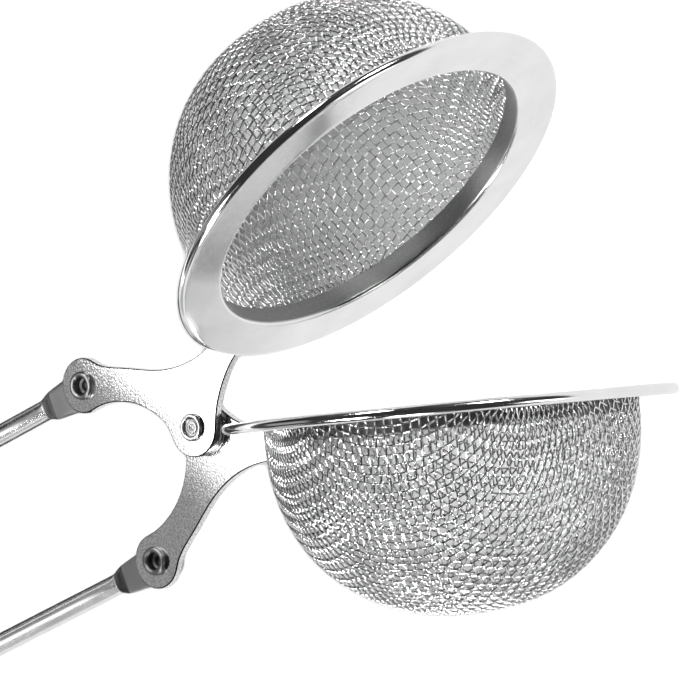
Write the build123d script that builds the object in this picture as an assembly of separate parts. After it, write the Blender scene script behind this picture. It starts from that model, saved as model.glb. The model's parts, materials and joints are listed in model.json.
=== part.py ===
from build123d import *
import os
from math import atan2, cos, degrees, hypot, pi, radians, sin, sqrt

# Squeeze-to-open tea infuser: two woven-mesh half-balls in stamped rim rings,
# each welded to a flat boomerang arm. The arms share one tubular rivet, and
# their rear ends are riveted to the flattened ends of a U-bent spring wire.
# All lengths in millimetres, angles in degrees.

# ---- driving dimensions -------------------------------------------------
RIM_R = 25.0            # outer radius of a rim ring
RIM_IN_R = 19.6         # radius of the round opening
SHEET = 0.40            # rim sheet thickness
RIM_T = 1.20            # overall thickness of the rolled rim edge
NECK_H = 2.60           # height of the collar inside the mesh
BOWL_R = 20.55          # outer radius of the mesh at the rim
BOWL_DEPTH = 23.1       # mating face to the bottom of the mesh, outside
BOWL_FULL = 2.2         # fullness of the bowl's profile (2 would be a plain oval)
MESH_T = 0.40           # thickness of the closed shell that stands for the cloth
MATE_GAP = 0.10         # mating face to the pivot axis plane
C = 36.3                # pivot axis to bowl axis
OPEN = 39.0             # angle between the two rims as squeezed
SWAY = 2.2              # both jaws turned this much off the handle's line
PLATE = 1.00            # arm plate thickness
EYE_D = 17.2            # pivot to handle rivet
EYE_A = 120.5           # direction of the handle rivet from the rim plane
EYE_R = 3.2             # round end of the arm at the handle rivet
PIV_R = 3.4             # round end of the arm at the pivot
WIRE_R = 1.20           # handle wire radius
LENGTH = 170.0          # overall length as squeezed
TAB_T = 1.00            # thickness of the flattened wire end
TAB_R = 2.3             # round end of the flattened wire
TAB_L = 7.5             # rivet to the start of the round wire
FLEX_GAP = 0.10         # cut between the bend and each leg

# levels along the pivot axis (0 = middle of the pivot spacer)
UP0, UP1 = 0.25, 1.25           # upper arm plate
LP0, LP1 = -1.25, -0.25         # lower arm plate
UT0, UT1 = -0.80, 0.20          # upper wire tab
LT0, LT1 = -2.30, -1.30         # lower wire tab

A_U = OPEN / 2 + SWAY           # upper jaw above the handle line
A_L = OPEN / 2 - SWAY           # lower jaw below the handle line

RA = (EYE_D * cos(radians(EYE_A + A_U)), EYE_D * sin(radians(EYE_A + A_U)))
RB = (EYE_D * cos(radians(EYE_A + A_L)), -EYE_D * sin(radians(EYE_A + A_L)))
ZU, ZL = (UT0 + UT1) / 2, (LT0 + LT1) / 2
BEND_R = hypot(RA[1] - RB[1], ZU - ZL) / 2
FRONT = max((C + RIM_R) * cos(radians(a)) for a in (A_U, A_L))
X_BEND = FRONT - LENGTH + BEND_R + WIRE_R      # where both straight legs end

os.makedirs("parts", exist_ok=True)
NODES = {}


def jaw(side):
    """Side +1 is the upper jaw, -1 the lower: its directions in the tool frame."""
    a = radians(A_U if side > 0 else A_L)
    u = Vector(cos(a), side * sin(a), 0)
    n = Vector(-sin(a), side * cos(a), 0)
    return u, n


def at(side, u, n, z=0.0):
    du, dn = jaw(side)
    return du * u + dn * n + Vector(0, 0, z)


def turned(side, section):
    """A solid of revolution about the bowl axis: section is in (radius, height)."""
    du, dn = jaw(side)
    pl = Plane(origin=at(side, C, MATE_GAP), x_dir=du, z_dir=dn)
    face = Plane.XZ * section
    return pl * revolve(face, axis=Axis.Z, revolution_arc=360)


def outline(*edges):
    return make_face(Wire(list(edges)))


def seg(p, q):
    return Line((p[0], p[1]), (q[0], q[1]))


# ---- rim ring: flat annulus, rounded mouth, collar, rolled outer edge -----
def rim_section():
    r0, r1 = RIM_IN_R, RIM_IN_R + SHEET
    f = 0.55                                   # mouth radius, outside
    b = RIM_T / 2                              # bead radius
    rc = RIM_R - b                             # bead centre
    lip = rc - 0.95                            # end of the turned-under lip
    s = sin(pi / 4)
    return outline(
        seg((r0, NECK_H), (r0, f)),
        ThreePointArc((r0, f), (r0 + f * (1 - s), f * (1 - s)), (r0 + f, 0)),
        seg((r0 + f, 0), (rc, 0)),
        ThreePointArc((rc, 0), (RIM_R, b), (rc, RIM_T)),
        seg((rc, RIM_T), (lip, RIM_T)),
        seg((lip, RIM_T), (lip, RIM_T - SHEET)),
        seg((lip, RIM_T - SHEET), (rc, RIM_T - SHEET)),
        ThreePointArc((rc, RIM_T - SHEET), (RIM_R - SHEET, b), (rc, SHEET)),
        seg((rc, SHEET), (r0 + f, SHEET)),
        ThreePointArc((r0 + f, SHEET), (r1 + (f - SHEET) * (1 - s), SHEET + (f - SHEET) * (1 - s)), (r1, f)),
        seg((r1, f), (r1, NECK_H)),
        seg((r1, NECK_H), (r0, NECK_H)),
    )


# ---- retaining ring: flat ring under the flange that holds the mesh hem ---
def retaining_section():
    a, b = 20.75, RIM_R - RIM_T / 2 - 1.05
    z0, z1 = 0.78, 1.15
    return outline(seg((a, z0), (b, z0)), seg((b, z0), (b, z1)), seg((b, z1), (a, z1)), seg((a, z1), (a, z0)))


# ---- mesh bowl: hem under the flange, short straight wall, half-oval --------
def dome(a, top, zs):
    """Slightly full quarter oval from (a, zs) to (0, top)."""
    b, k = top - zs, 2 / BOWL_FULL
    mid = [(a * cos(radians(t)) ** k, zs + b * sin(radians(t)) ** k) for t in (15, 30, 45, 60, 75)]
    return Spline((a, zs), *mid, (0, top), tangents=[(0, 1), (-1, 0)])


def mesh_bowl(side):
    ro, ri = BOWL_R, BOWL_R - MESH_T
    zs = 2.0                                   # end of the straight wall
    h0, h1 = 0.43, 0.76                        # hem
    hem = 23.2
    do, di = BOWL_DEPTH, BOWL_DEPTH - MESH_T
    outer = turned(side, outline(
        seg((0, h0), (hem, h0)),
        seg((hem, h0), (hem, h1)),
        seg((hem, h1), (ro, h1)),
        seg((ro, h1), (ro, zs)),
        dome(ro, do, zs),
        seg((0, do), (0, h0)),
    ))
    inner = turned(side, outline(
        seg((0, h0 - 1), (ri, h0 - 1)),
        seg((ri, h0 - 1), (ri, zs)),
        dome(ri, di, zs),
        seg((0, di), (0, h0 - 1)),
    ))
    return outer - inner


# ---- arm plate: tongue under the flange, pivot eye, rivet eye --------------
def plate_face(side, holes):
    def p(q):
        v = at(side, q[0], q[1])
        return (v.X, v.Y)

    def d(q):
        v = at(side, q[0], q[1])
        return (v.X, v.Y)

    ex, ey = EYE_D * cos(radians(EYE_A)), EYE_D * sin(radians(EYE_A))

    def on(cx, cy, r, a):
        return (cx + r * cos(radians(a)), cy + r * sin(radians(a)))

    def tan(a):
        return (-sin(radians(a)), cos(radians(a)))

    tip = C - BOWL_R - 0.06
    top, low = 4.6, RIM_T + MATE_GAP + 0.02
    a1, a2 = 18.0, 222.0                       # rivet eye, from bowl side to handle side
    b1, b2 = 188.0, 312.0                      # pivot eye, from handle side to mating side
    bowl_side = Spline(
        *[p(q) for q in ((tip, top), (10.4, 4.55), (7.1, 4.95), (3.7, 6.2), (0.4, 8.6), (-2.7, 11.9), on(ex, ey, EYE_R, a1))],
        tangents=[d((-1, 0)), d(tan(a1))],
    )
    eye = ThreePointArc(p(on(ex, ey, EYE_R, a1)), p(on(ex, ey, EYE_R, (a1 + a2) / 2)), p(on(ex, ey, EYE_R, a2)))
    handle_side = Spline(
        *[p(q) for q in (on(ex, ey, EYE_R, a2), (-8.9, 11.55), (-6.5, 10.1), (-4.45, 7.9), (-3.15, 5.3), (-2.75, 2.6), on(0, 0, PIV_R, b1))],
        tangents=[d(tan(a2)), d(tan(b1))],
    )
    pivot = ThreePointArc(p(on(0, 0, PIV_R, b1)), p(on(0, 0, PIV_R, (b1 + b2) / 2)), p(on(0, 0, PIV_R, b2)))
    mate_side = Spline(
        *[p(q) for q in (on(0, 0, PIV_R, b2), (4.5, -0.75), (6.3, 0.2), (8.2, 0.9), (10.8, low))],
        tangents=[d(tan(b2)), d((1, 0))],
    )
    face = outline(
        bowl_side, eye, handle_side, pivot, mate_side,
        Line(p((10.8, low)), p((tip, low))), Line(p((tip, low)), p((tip, top))),
    )
    for (cx, cy, r) in ((0, 0, holes[0]), (ex, ey, holes[1])):
        x, y = p((cx, cy))
        face -= Pos(x, y) * Circle(r)
    return face


def slab(face, z0, z1):
    solid = extrude(face, amount=z1 - z0, dir=(0, 0, 1))
    return Pos(0, 0, z0) * solid


# ---- turned about the pivot direction: rivets and washers ------------------
def spun(x, y, pts):
    """Revolves a closed list of (radius, level) points and arcs about a rivet axis."""
    edges = []
    for i, p in enumerate(pts):
        q = pts[(i + 1) % len(pts)]
        if len(p) == 4:
            edges.append(ThreePointArc((p[0], p[1]), (p[2], p[3]), (q[0], q[1])))
        else:
            edges.append(Line((p[0], p[1]), (q[0], q[1])))
    body = revolve(Plane.XZ * make_face(Wire(edges)), axis=Axis.Z, revolution_arc=360)
    return Pos(x, y, 0) * body


def rivet(x, y, shank, lip, bore, step, z_back, z_seat, z_front, flange):
    """Semi-tubular rivet: flat flange behind, shank, and a rolled lip that stands out
    of the front face round a stepped blind bore. z_front is the plate's front face."""
    top = z_front + 0.70
    s = sin(pi / 4)
    ra = (lip - bore) / 2                      # lip roll radius
    rm = (lip + bore) / 2
    return spun(x, y, [
        (0, z_back),
        (flange - 0.15, z_back, flange - 0.15 * (1 - s), z_back + 0.15 * (1 - s)),
        (flange, z_back + 0.15),
        (flange, z_seat),
        (shank, z_seat),
        (shank, z_front),
        (lip, z_front),
        (lip, top - ra, rm + ra * s, top - ra + ra * s),
        (rm, top, rm - ra * s, top - ra + ra * s),
        (bore, top - ra),
        (bore, top - 1.05),
        (step, top - 1.20),
        (step, top - 1.75),
        (0, top - 1.95),
    ])


def washer(x, y, r_in, r_out, z0, z1):
    e = 0.08
    return spun(x, y, [(r_in, z0), (r_out - e, z0), (r_out, z0 + e), (r_out, z1 - e), (r_out - e, z1), (r_in, z1)])


# ---- handle wire ------------------------------------------------------------
def leg(eye, z, hole, z0, z1):
    """Flattened tab with its rivet hole, a short shouldered taper, then round wire."""
    x, y = eye
    xr = x - TAB_L
    tab = Pos(0, 0, z0) * extrude(Pos(x, y) * Circle(TAB_R), amount=z1 - z0, dir=(0, 0, 1))
    xt = xr + 1.5                              # tab's parallel part ends here
    w0, w1 = TAB_R, 1.75
    neck = Polygon((x, y + w0), (x - 1.6, y + w0 - 0.05), (xt, y + w1), (xt, y - w1), (x - 1.6, y - w0 + 0.05), (x, y - w0), align=None)
    tab += Pos(0, 0, z0) * extrude(neck, amount=z1 - z0, dir=(0, 0, 1))
    end = Plane(origin=(xt, y, z), x_dir=(0, 1, 0), z_dir=(-1, 0, 0))
    start = Plane(origin=(xr, y, z), x_dir=(0, 1, 0), z_dir=(-1, 0, 0))
    shoulder = loft([end * RectangleRounded(2 * w1, z1 - z0, 0.42), start * Circle(WIRE_R)])
    rod = Plane(origin=(xr, y, z), x_dir=(0, 1, 0), z_dir=(-1, 0, 0)) * Cylinder(
        WIRE_R, xr - X_BEND - FLEX_GAP, align=(Align.CENTER, Align.CENTER, Align.MIN))
    body = tab + shoulder + rod
    body -= Pos(x, y, z) * Cylinder(hole, 4)
    return body


def bend():
    """Half turn of round wire, its ends on the two leg axes."""
    mid = Vector(X_BEND, (RA[1] + RB[1]) / 2, (ZU + ZL) / 2)
    along = (Vector(0, RA[1], ZU) - Vector(0, RB[1], ZL)).normalized()
    normal = Vector(1, 0, 0).cross(along)      # bend plane's normal
    ring = Plane(origin=mid, x_dir=along, z_dir=(1, 0, 0))
    face = ring * (Pos(BEND_R, 0) * Circle(WIRE_R))
    half = revolve(face, axis=Axis(mid, normal), revolution_arc=180)
    if half.bounding_box().center().X > X_BEND:
        half = revolve(face, axis=Axis(mid, normal * -1), revolution_arc=180)
    return half


# ---- assemble in the tool frame ---------------------------------------------
PIV_SHANK, PIV_HOLE = 1.20, 1.25
EYE_SHANK, EYE_HOLE = 1.10, 1.15
LOOSE_HOLE = 1.62                              # hidden oversize hole in the lower wire tab

for side, name in ((1, "upper"), (-1, "lower")):
    NODES[name + "_rim_ring"] = turned(side, rim_section())
    NODES[name + "_retaining_ring"] = turned(side, retaining_section())
    NODES[name + "_mesh_bowl"] = mesh_bowl(side)
    z0, z1 = (UP0, UP1) if side > 0 else (LP0, LP1)
    eye_hole = EYE_SHANK + 0.01
    piv_hole = PIV_SHANK + 0.01 if side > 0 else PIV_HOLE
    NODES[name + "_arm_plate"] = slab(plate_face(side, (piv_hole, eye_hole)), z0, z1)
    beads = []
    for zf, sg in ((z1, 1), (z0, -1)):
        du, dn = jaw(side)
        low = RIM_T + MATE_GAP + 0.02
        pl = Plane(origin=at(side, 12.2, low, zf), x_dir=(0, 0, 1), z_dir=du)
        k = pl.y_dir.dot(dn)
        tri = make_face(Wire([Line((0, 0), (sg * 0.75, 0)), ThreePointArc((sg * 0.75, 0), (sg * 0.42, k * 0.42), (0, k * 0.75)), Line((0, k * 0.75), (0, 0))]))
        beads.append(extrude(pl * tri, amount=3.1, dir=du))
    NODES[name + "_arm_weld"] = Compound(children=beads)

NODES["pivot_rivet"] = rivet(0, 0, PIV_SHANK, 1.58, 1.02, 0.55, -2.15, -1.75, UP1, 2.0)
NODES["pivot_spacer_washer"] = washer(0, 0, PIV_SHANK + 0.01, 3.35, -0.20, UP0)
NODES["pivot_back_washer"] = washer(0, 0, PIV_SHANK + 0.01, 3.0, -1.75, -1.30)
NODES["upper_handle_rivet"] = rivet(*RA, EYE_SHANK, 1.66, 0.98, 0.72, -1.60, -1.25, UP1, 1.8)
NODES["upper_handle_rivet_washer"] = washer(*RA, EYE_SHANK + 0.01, 2.2, -1.25, -0.85)
NODES["lower_handle_rivet"] = rivet(*RB, EYE_SHANK, 1.66, 0.98, 0.72, -3.10, -2.75, LP1, 1.8)
NODES["lower_handle_rivet_washer"] = washer(*RB, EYE_SHANK + 0.01, 2.2, -2.75, -2.35)
NODES["upper_handle_leg"] = leg(RA, ZU, EYE_HOLE, UT0, UT1)
NODES["lower_handle_leg"] = leg(RB, ZL, LOOSE_HOLE, LT0, LT1)
NODES["handle_bend"] = bend()


# ---- lay it on its side: both rims and the bend touch z = 0 -----------------
def lowest(shapes, tilt):
    return min((Rot(0, tilt, 0) * s).bounding_box().min.Z for s in shapes)


rims = [NODES["upper_rim_ring"], NODES["lower_rim_ring"]]
rear = [NODES["handle_bend"]]
lo, hi = -15.0, -3.0
for _ in range(24):
    tilt = (lo + hi) / 2
    if lowest(rear, tilt) > lowest(rims, tilt):
        hi = tilt
    else:
        lo = tilt
TILT = round(tilt, 4)
laid = {k: Rot(0, TILT, 0) * s for k, s in NODES.items()}
boxes = [s.bounding_box() for s in laid.values()]
mn = [min(getattr(b.min, a) for b in boxes) for a in "XYZ"]
mx = [max(getattr(b.max, a) for b in boxes) for a in "XYZ"]
SHIFT = Vector(-(mn[0] + mx[0]) / 2, -(mn[1] + mx[1]) / 2, -mn[2])


def row(v):
    t = radians(TILT)
    return (round(v[0] * cos(t) + v[2] * sin(t) + SHIFT.X, 5), round(v[1] + SHIFT.Y, 5),
            round(-v[0] * sin(t) + v[2] * cos(t) + SHIFT.Z, 5))


for name, shape in laid.items():
    placed = Pos(SHIFT.X, SHIFT.Y, SHIFT.Z) * shape
    placed.label = name
    export_step(placed, "parts/" + name + ".step")

print("tilt", TILT, "shift", tuple(round(v, 5) for v in (SHIFT.X, SHIFT.Y, SHIFT.Z)))
print("size", [round(b - a, 2) for a, b in zip(mn, mx)])
print("pivot", row((0, 0, 0)), "axis", [round(v, 6) for v in (sin(radians(TILT)), 0, cos(radians(TILT)))])
print("upper eye", row((*RA, ZU)), "lower eye", row((*RB, ZL)))
print("upper flex", row((X_BEND, RA[1], ZU)), "lower flex", row((X_BEND, RB[1], ZL)))
print("leg length", round(RA[0] - X_BEND, 3), round(RB[0] - X_BEND, 3), "bend radius", round(BEND_R, 3))
print("RA", RA, "RB", RB, "X_BEND", X_BEND)
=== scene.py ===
import json
import math
import bpy
import numpy as np
from mathutils import Matrix, Vector


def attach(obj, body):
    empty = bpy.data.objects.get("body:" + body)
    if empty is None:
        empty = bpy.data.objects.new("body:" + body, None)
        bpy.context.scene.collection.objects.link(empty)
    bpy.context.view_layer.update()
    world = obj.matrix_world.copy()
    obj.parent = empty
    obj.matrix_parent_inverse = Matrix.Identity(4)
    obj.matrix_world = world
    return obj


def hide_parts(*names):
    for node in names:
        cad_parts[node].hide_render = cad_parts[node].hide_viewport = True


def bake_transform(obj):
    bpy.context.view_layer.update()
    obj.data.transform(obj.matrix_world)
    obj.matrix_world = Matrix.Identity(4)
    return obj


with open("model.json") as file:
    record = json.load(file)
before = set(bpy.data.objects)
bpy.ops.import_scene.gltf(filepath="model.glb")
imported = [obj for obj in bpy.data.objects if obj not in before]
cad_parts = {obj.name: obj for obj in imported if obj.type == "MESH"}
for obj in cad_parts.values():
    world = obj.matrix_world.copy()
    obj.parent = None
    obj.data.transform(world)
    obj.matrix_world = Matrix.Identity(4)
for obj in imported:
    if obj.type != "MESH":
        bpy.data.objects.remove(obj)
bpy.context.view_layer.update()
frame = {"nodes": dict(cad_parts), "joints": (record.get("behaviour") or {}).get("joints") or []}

# ---------------------------------------------------------------------------
# tool frame: origin on the pivot axis, x towards the bowls, y towards the upper
# bowl, z along the rivets. Lengths below are millimetres in that frame.
# ---------------------------------------------------------------------------
joints = {j["name"]: j for j in frame["joints"]}
ORIGIN = np.array(joints["jaw_pivot"]["pos_m"], float)
ZT = -np.array(joints["jaw_pivot"]["axis"], float)
ZT /= np.linalg.norm(ZT)
YT = np.array([0.0, 1.0, 0.0])
XT = np.cross(YT, ZT)
BASIS = np.stack([XT, YT, ZT], 1)


def to_row(p):
    return ORIGIN + 0.001 * (np.atleast_2d(np.asarray(p, float)) @ BASIS.T)


def row_dir(v):
    return Vector(BASIS @ np.asarray(v, float)).normalized()


C, RIM_R, RIM_IN, SHEET, RIM_T, NECK_H, GAP = 36.3, 25.0, 19.6, 0.40, 1.20, 2.60, 0.10
A_U, A_L = math.radians(21.7), math.radians(17.3)
EYE_D, EYE_A = 17.2, math.radians(120.5)
RA = np.array([EYE_D * math.cos(EYE_A + A_U), EYE_D * math.sin(EYE_A + A_U)])
RB = np.array([EYE_D * math.cos(EYE_A + A_L), -EYE_D * math.sin(EYE_A + A_L)])
ZU, ZL = -0.30, -1.80
BEND_R = math.hypot(RA[1] - RB[1], ZU - ZL) / 2
X_BEND = (C + RIM_R) * math.cos(A_L) - 170.0 + BEND_R + 1.2
WIRE_R = 1.2
JAW = {
    "upper": (np.array([math.cos(A_U), math.sin(A_U), 0.0]), np.array([-math.sin(A_U), math.cos(A_U), 0.0])),
    "lower": (np.array([math.cos(A_L), -math.sin(A_L), 0.0]), np.array([-math.sin(A_L), -math.cos(A_L), 0.0])),
}
Z3 = np.array([0.0, 0.0, 1.0])
rng = np.random.default_rng(7)


# ---------------------------------------------------------------------------
# mesh helpers
# ---------------------------------------------------------------------------
def make(name, verts, faces, body, mat, uv=None, uv_name="UVMap", smooth=True, sharp=None, replaces=(), row=False, ride=True):
    """verts in tool-frame millimetres (or row metres), faces an (n, k) array or a list of tuples."""
    v = np.asarray(verts, float)
    if not row:
        v = to_row(v)
    me = bpy.data.meshes.new(name)
    if isinstance(faces, np.ndarray):
        n, k = faces.shape
        me.vertices.add(len(v))
        me.vertices.foreach_set("co", v.astype(np.float32).ravel())
        me.loops.add(n * k)
        me.loops.foreach_set("vertex_index", faces.astype(np.int32).ravel())
        me.polygons.add(n)
        me.polygons.foreach_set("loop_start", np.arange(0, n * k, k, dtype=np.int32))
        me.update(calc_edges=True)
        me.validate()
    else:
        me.from_pydata(v.tolist(), [], faces)
        me.update()
    if uv is not None:
        layer = me.uv_layers.new(name=uv_name)
        layer.data.foreach_set("uv", np.asarray(uv, np.float32).ravel())
    if smooth:
        me.polygons.foreach_set("use_smooth", np.ones(len(me.polygons), bool))
        if sharp:
            me.set_sharp_from_angle(angle=math.radians(sharp))
    me.materials.append(mat)
    ob = bpy.data.objects.new(name, me)
    bpy.context.scene.collection.objects.link(ob)
    if ride:
        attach(ob, body)
    if replaces:
        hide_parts(*replaces)
    return ob


def arc(cx, cy, r, a0, a1, n):
    t = np.radians(np.linspace(a0, a1, n))
    return [(cx + r * math.cos(a), cy + r * math.sin(a)) for a in t]


def revolve(profile, origin, ax_u, ax_w, ax_n, segs=192, wob=None):
    """Closed profile of (r, h) turned about ax_n. Profile runs so that the faces look outwards."""
    prof = np.array(profile, float)
    m = len(prof)
    seg = np.linalg.norm(np.roll(prof, -1, 0) - prof, axis=1)
    s = np.concatenate([[0], np.cumsum(seg)])
    ang = np.linspace(0, 2 * math.pi, segs, endpoint=False)
    d = np.cos(ang)[:, None] * ax_u + np.sin(ang)[:, None] * ax_w
    pts = origin + prof[None, :, 0, None] * d[:, None, :] + prof[None, :, 1, None] * ax_n
    if wob is not None:
        pts = pts + wob(ang)[:, None, None] * ax_n
    pts = pts.reshape(-1, 3)
    i, j = np.meshgrid(np.arange(segs), np.arange(m), indexing="ij")
    i2, j2 = (i + 1) % segs, (j + 1) % m
    f = np.stack([i * m + j, i2 * m + j, i2 * m + j2, i * m + j2], -1).reshape(-1, 4)
    ru = 2 * math.pi * prof[:, 0].max() / segs
    u0, u1 = i * ru, (i + 1) * ru
    v0, v1 = s[j], s[j + 1]
    uv = np.stack([np.stack([u0, v0], -1), np.stack([u1, v0], -1), np.stack([u1, v1], -1), np.stack([u0, v1], -1)], 2).reshape(-1, 2)
    a, b, c = pts[f[:, 0]], pts[f[:, 1]], pts[f[:, 2]]
    nrm = np.cross(b - a, c - a)
    vol = np.einsum("ij,ij->i", a, nrm).sum() + np.einsum("ij,ij->i", a, np.cross(c - a, pts[f[:, 3]] - a)).sum()
    if vol < 0:
        f = f[:, ::-1]
        uv = uv.reshape(-1, 4, 2)[:, ::-1].reshape(-1, 2)
    return pts, f, uv


# ---------------------------------------------------------------------------
# materials
# ---------------------------------------------------------------------------
def nodes_of(name):
    m = bpy.data.materials.new(name)
    m.use_nodes = True
    nt = m.node_tree
    nt.nodes.clear()
    out = nt.nodes.new("ShaderNodeOutputMaterial")
    b = nt.nodes.new("ShaderNodeBsdfPrincipled")
    nt.links.new(b.outputs[0], out.inputs[0])
    b.inputs["Metallic"].default_value = 1.0
    return m, nt, b


def coords(nt, kind, scale):
    tc = nt.nodes.new("ShaderNodeTexCoord")
    mp = nt.nodes.new("ShaderNodeMapping")
    nt.links.new(tc.outputs[kind], mp.inputs[0])
    mp.inputs["Scale"].default_value = scale
    return mp.outputs[0]


def noise(nt, vec, scale, detail=3.0, rough=0.55):
    n = nt.nodes.new("ShaderNodeTexNoise")
    n.inputs["Scale"].default_value = scale
    n.inputs["Detail"].default_value = detail
    n.inputs["Roughness"].default_value = rough
    nt.links.new(vec, n.inputs["Vector"])
    return n.outputs["Fac"]


def remap(nt, val, a, b, lo, hi):
    r = nt.nodes.new("ShaderNodeMapRange")
    for k, v in (("From Min", a), ("From Max", b), ("To Min", lo), ("To Max", hi)):
        r.inputs[k].default_value = v
    nt.links.new(val, r.inputs["Value"])
    return r.outputs["Result"]


def ramp(nt, val, stops):
    r = nt.nodes.new("ShaderNodeValToRGB")
    e = r.color_ramp.elements
    while len(e) > len(stops):
        e.remove(e[-1])
    while len(e) < len(stops):
        e.new(0.5)
    for el, (p, c) in zip(e, stops):
        el.position = p
        el.color = (*c, 1)
    nt.links.new(val, r.inputs[0])
    return r.outputs[0]


def math_node(nt, op, a, b):
    m = nt.nodes.new("ShaderNodeMath")
    m.operation = op
    for k, x in enumerate((a, b)):
        if isinstance(x, (int, float)):
            m.inputs[k].default_value = x
        else:
            nt.links.new(x, m.inputs[k])
    return m.outputs[0]


def bump(nt, b, heights):
    """heights: list of (socket, distance in metres, strength)."""
    prev = None
    for h, dist, st in heights:
        n = nt.nodes.new("ShaderNodeBump")
        n.inputs["Distance"].default_value = dist
        n.inputs["Strength"].default_value = st
        nt.links.new(h, n.inputs["Height"])
        if prev is not None:
            nt.links.new(prev, n.inputs["Normal"])
        prev = n.outputs[0]
    nt.links.new(prev, b.inputs["Normal"])


def g(x):
    return (x, x, x * 1.005)


def steel_turned(name, lo, hi, r0, r1, streak=22.0, bump_d=1.2e-6, neck=None):
    """Polished sheet with very fine lines that run round the ring (UV x is along the ring, in mm).
    neck: lengths along the profile (UV y) between which the sheet is bright; outside them it is
    the drawn wall, left satin by the press (rougher) and painted darker (0.20-0.32) as shade."""
    m, nt, b = nodes_of(name)
    v = coords(nt, "UV", (0.05, streak, 1.0))
    fine = noise(nt, v, 1.0, 4.0, 0.7)
    cloud = noise(nt, coords(nt, "Object", (1, 1, 1)), 160.0, 4.0)
    speck = noise(nt, coords(nt, "Object", (1, 1, 1)), 5200.0, 2.0)
    b_in = ramp(nt, math_node(nt, "ADD", math_node(nt, "MULTIPLY", fine, 0.35), math_node(nt, "MULTIPLY", cloud, 0.65)), [(0.35, g(lo)), (0.65, g(hi))])
    rr = math_node(nt, "ADD", remap(nt, cloud, 0.3, 0.7, r0, r1), remap(nt, fine, 0.3, 0.7, -0.02, 0.03))
    if neck:
        # painted shade: the drawn wall outside the neck span gets a dark base colour; its extra roughness is the real
        # satin
        sep = nt.nodes.new("ShaderNodeSeparateXYZ")
        nt.links.new(coords(nt, "UV", (1, 1, 1)), sep.inputs[0])
        wall = math_node(nt, "ADD", remap(nt, sep.outputs[1], neck[0], neck[0] + 0.35, 1.0, 0.0), remap(nt, sep.outputs[1], neck[1] - 0.35, neck[1], 0.0, 1.0))
        mix = nt.nodes.new("ShaderNodeMix")
        mix.data_type = "RGBA"
        nt.links.new(wall, mix.inputs["Factor"])
        nt.links.new(b_in, mix.inputs[6])
        nt.links.new(ramp(nt, math_node(nt, "ADD", math_node(nt, "MULTIPLY", speck, 0.5), math_node(nt, "MULTIPLY", fine, 0.5)), [(0.35, g(0.20)), (0.65, g(0.32))]), mix.inputs[7])
        b_in = mix.outputs[2]
        rr = math_node(nt, "ADD", rr, math_node(nt, "MULTIPLY", wall, 0.24))
    nt.links.new(b_in, b.inputs["Base Color"])
    nt.links.new(rr, b.inputs["Roughness"])
    bump(nt, b, [(fine, bump_d, 0.35), (speck, 1.5e-6, 0.25)])
    return m


def steel_tumbled(name, lo, hi, r0, r1, grain=4200.0, depth=6e-6, st=0.5, pit=1.0, edge=None):
    """Stamped plate, tumbled with fine media: sandy micro-dimples and a satin sheen.
    pit: painted shade at the bottom of the pits, the colour of their darkest patches. edge: painted shade, the base
    colour of the rolled edges (UV x = 1)."""
    m, nt, b = nodes_of(name)
    o = coords(nt, "Object", (1, 1, 1))
    fine = noise(nt, o, grain, 2.0, 0.6)
    mid = noise(nt, o, grain * 0.4, 3.0, 0.6)
    cloud = noise(nt, o, 220.0, 3.0)
    vor = nt.nodes.new("ShaderNodeTexVoronoi")
    vor.inputs["Scale"].default_value = grain * 0.55
    nt.links.new(o, vor.inputs["Vector"])
    dim = remap(nt, vor.outputs["Distance"], 0.0, 0.6, 0.0, 1.0)
    col = ramp(nt, math_node(nt, "ADD", math_node(nt, "MULTIPLY", cloud, 0.6), math_node(nt, "MULTIPLY", fine, 0.4)), [(0.36, g(lo)), (0.64, g(hi))])
    # painted shade: random noise patches darken the colour towards pit, as shade in the pits
    if pit < 1:
        pit_shade_spots = noise(nt, o, grain * 0.62, 1.0, 0.5)
        mul = nt.nodes.new("ShaderNodeMix")
        mul.data_type = "RGBA"
        mul.blend_type = "MULTIPLY"
        mul.inputs["Factor"].default_value = 1.0
        nt.links.new(col, mul.inputs[6])
        nt.links.new(ramp(nt, pit_shade_spots, [(0.40, g(pit)), (0.56, g(1.0))]), mul.inputs[7])
        col = mul.outputs[2]
    # painted shade: the rolled edges (UV x = 1) take the dark base colour edge
    if edge:
        sep = nt.nodes.new("ShaderNodeSeparateXYZ")
        nt.links.new(coords(nt, "UV", (1, 1, 1)), sep.inputs[0])
        mix = nt.nodes.new("ShaderNodeMix")
        mix.data_type = "RGBA"
        nt.links.new(sep.outputs[0], mix.inputs["Factor"])
        nt.links.new(col, mix.inputs[6])
        mix.inputs[7].default_value = (*g(edge), 1)
        col = mix.outputs[2]
    nt.links.new(col, b.inputs["Base Color"])
    rr = math_node(nt, "ADD", remap(nt, cloud, 0.3, 0.7, r0, r1), remap(nt, fine, 0.3, 0.7, -0.04, 0.04))
    nt.links.new(rr, b.inputs["Roughness"])
    bump(nt, b, [(dim, depth, st), (mid, depth * 1.3, st * 0.6), (fine, depth * 0.6, st * 0.6)])
    return m


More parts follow.
